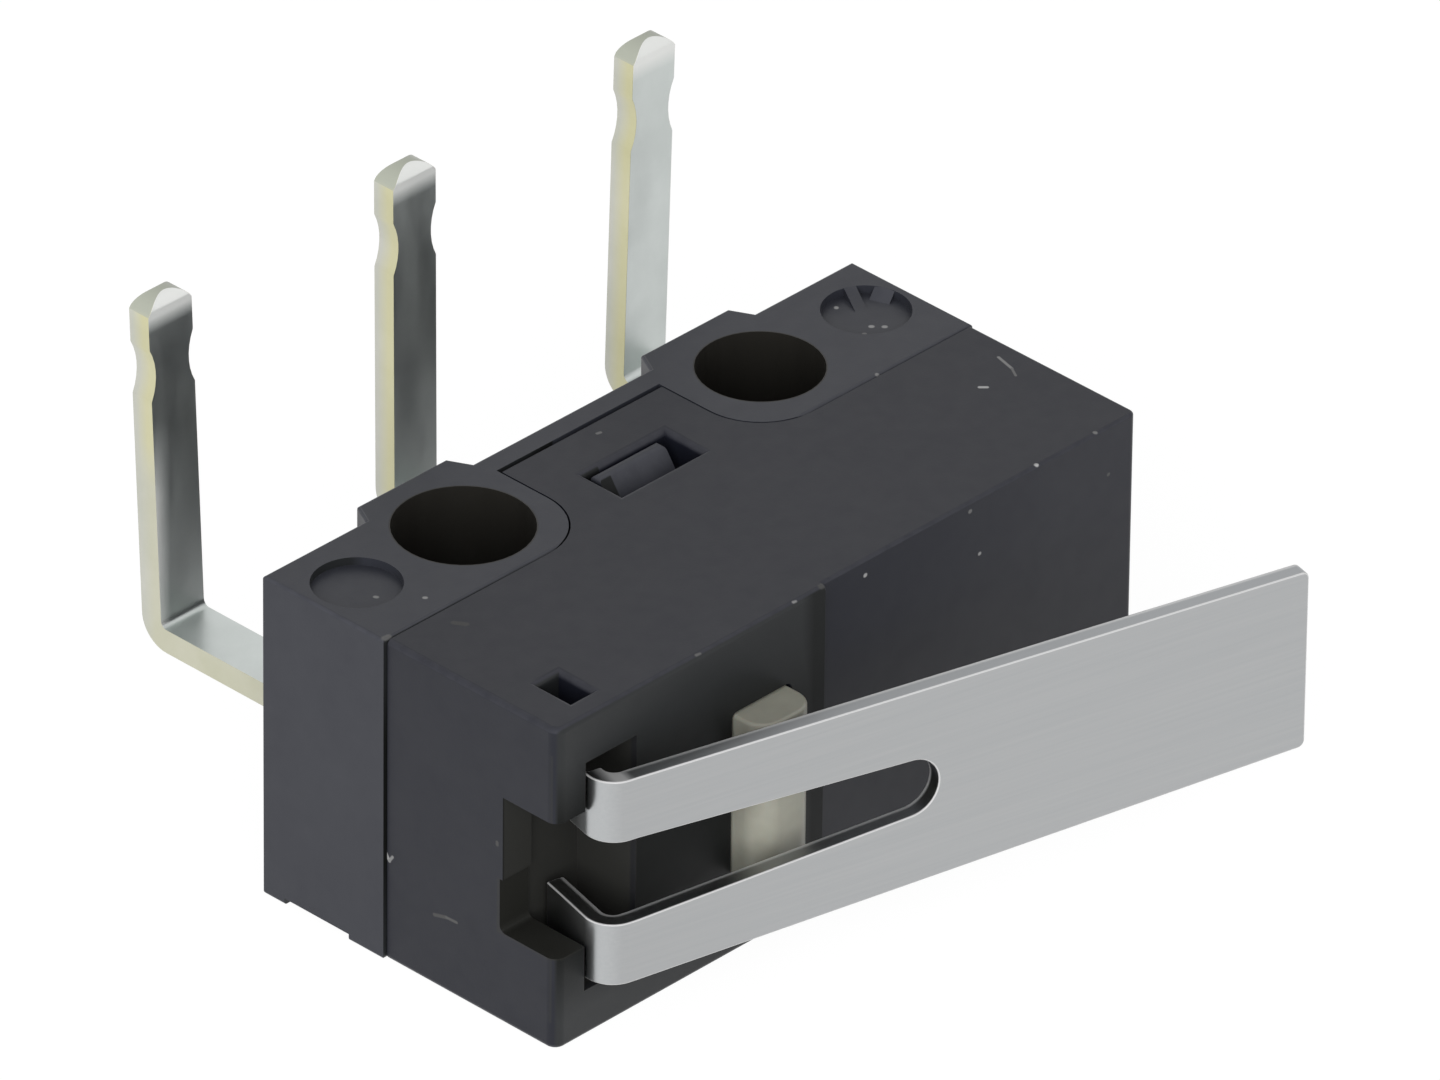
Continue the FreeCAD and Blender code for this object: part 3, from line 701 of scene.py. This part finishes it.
def dressed(node, material, edge):
    """Puts a copy of a CAD piece with whole faces and softened edges in its place."""
    shape = bmesh.new()
    shape.from_mesh(nodes[node].data)
    bmesh.ops.remove_doubles(shape, verts=shape.verts, dist=WELD * MM)
    bmesh.ops.dissolve_limit(shape, angle_limit=FLAT_ANGLE, verts=shape.verts, edges=shape.edges)
    sharp = [border for border in shape.edges if border.calc_face_angle(0.0) > CRISP_ANGLE]
    made = bmesh.ops.bevel(shape, geom=sharp, offset=edge * MM, offset_type="OFFSET", segments=2,
                           profile=0.5, affect="EDGES", clamp_overlap=True)
    bmesh.ops.dissolve_degenerate(shape, dist=WELD * MM, edges=shape.edges)
    strips = {face for face in made["faces"] if face.is_valid}
    for face in shape.faces:
        face.smooth = True
    shape.normal_update()
    normals = corner_normals(shape, strips)
    mesh = bpy.data.meshes.new(node + "_finish")
    shape.to_mesh(mesh)
    shape.free()
    mesh.normals_split_custom_set(normals)
    mesh.materials.append(material)
    piece = bpy.data.objects.new(node + "_finish", mesh)
    bpy.context.scene.collection.objects.link(piece)
    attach(piece, body_of[node])
    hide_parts(node)


def place_camera():
    """The camera of the photograph, from its two angles and its roll."""
    level = math.cos(CAMERA_ELEVATION)
    ahead = Vector((-math.sin(CAMERA_AZIMUTH) * level, math.cos(CAMERA_AZIMUTH) * level,
                    -math.sin(CAMERA_ELEVATION)))
    right = Vector((math.cos(CAMERA_AZIMUTH), math.sin(CAMERA_AZIMUTH), 0.0))
    up = right.cross(ahead)
    rolled_right = right * math.cos(CAMERA_ROLL) + up * math.sin(CAMERA_ROLL)
    rolled_up = up * math.cos(CAMERA_ROLL) - right * math.sin(CAMERA_ROLL)
    turn = Matrix((rolled_right, rolled_up, -ahead)).transposed()

    data = bpy.data.cameras.new("camera")
    data.sensor_width = SENSOR
    data.sensor_fit = "HORIZONTAL"
    data.lens = LENS
    data.clip_start = CLIP_START * MM
    data.clip_end = CLIP_END * MM
    camera = bpy.data.objects.new("camera", data)
    camera.matrix_world = Matrix.Translation(Vector(CAMERA_AT) * MM) @ turn.to_4x4()
    bpy.context.scene.collection.objects.link(camera)
    bpy.context.scene.camera = camera


def seen_directly(tree):
    """1 for rays from the camera, off metal and through glass."""
    path = add(tree, "ShaderNodeLightPath")
    seen = maths(tree, "MAXIMUM", path.outputs["Is Camera Ray"], path.outputs["Is Glossy Ray"])
    return maths(tree, "MAXIMUM", seen, path.outputs["Is Transmission Ray"])


def make_world():
    """Even light on the switch, and plain white where the world itself is seen."""
    world = bpy.data.worlds.new("studio")
    bpy.context.scene.world = world
    world.use_nodes = True
    tree = world.node_tree
    tree.nodes.clear()
    light = add(tree, "ShaderNodeBackground", {"Color": opaque(WHITE), "Strength": WORLD_LIGHT})
    white = add(tree, "ShaderNodeBackground", {"Color": opaque(WHITE), "Strength": 1.0})
    seen = seen_directly(tree)
    both = add(tree, "ShaderNodeMixShader", {0: seen, 1: light.outputs[0], 2: white.outputs[0]})
    add(tree, "ShaderNodeOutputWorld", {"Surface": both.outputs[0]})


def make_floor():
    """A pale floor that keeps the shadow of the switch and shows white to the camera."""
    half = FLOOR_HALF * MM
    mesh = bpy.data.meshes.new("floor")
    corners = [(-half, -half, 0), (half, -half, 0), (half, half, 0), (-half, half, 0)]
    mesh.from_pydata(corners, [], [(0, 1, 2, 3)])
    floor = bpy.data.objects.new("floor", mesh)
    floor.location.z = -FLOOR_DROP * MM
    bpy.context.scene.collection.objects.link(floor)

    material = bpy.data.materials.new("floor")
    material.use_nodes = True
    tree = material.node_tree
    tree.nodes.clear()
    diffuse = add(tree, "ShaderNodeBsdfDiffuse", {"Color": opaque(FLOOR_COLOUR)})
    white = add(tree, "ShaderNodeEmission", {"Color": opaque(WHITE), "Strength": FLOOR_GLOW})
    seen = times(tree, seen_directly(tree), FLOOR_WHITE)
    both = add(tree, "ShaderNodeMixShader", {0: seen, 1: diffuse.outputs[0], 2: white.outputs[0]})
    add(tree, "ShaderNodeOutputMaterial", {"Surface": both.outputs[0]})
    mesh.materials.append(material)


def place_key_light():
    """A wide soft light that metal doesn't mirror."""
    data = bpy.data.lights.new("key", "AREA")
    data.shape = "RECTANGLE"
    data.size = KEY_SIDE * MM
    data.size_y = KEY_SIDE * MM
    data.energy = KEY_POWER
    lamp = bpy.data.objects.new("key", data)
    lamp.location = Vector(KEY_AT) * MM
    towards = Vector(KEY_TARGET) * MM - lamp.location
    lamp.rotation_euler = towards.to_track_quat("-Z", "Y").to_euler()
    lamp.visible_glossy = False
    bpy.context.scene.collection.objects.link(lamp)


place_camera()
make_world()
make_floor()
place_key_light()

base_plastic = case_material("base_plastic", BASE_DEEP, BASE_PALE, BASE_NICKS, BORES)
cover_plastic = case_material("cover_plastic", COVER_DEEP, COVER_PALE, COVER_NICKS_AND_GLINT, [])
steel = steel_material()
plating = plating_material()
ivory = plunger_material()
silver = contact_material()
spring = blade_material()

dressed("base", base_plastic, CASE_EDGE)
dressed("cover", cover_plastic, CASE_EDGE)
dressed("actuator_lever", steel, LEVER_EDGE)
for node in ("common_terminal", "normally_open_terminal", "normally_closed_terminal"):
    dressed(node, plating, PIN_EDGE)
dressed("plunger", ivory, CASE_EDGE)
for node in ("normally_open_contact", "normally_closed_contact", "moving_contact"):
    dressed(node, silver, INNER_EDGE)
dressed("snap_blade", spring, INNER_EDGE)

bpy.context.scene.view_settings.view_transform = "Standard"
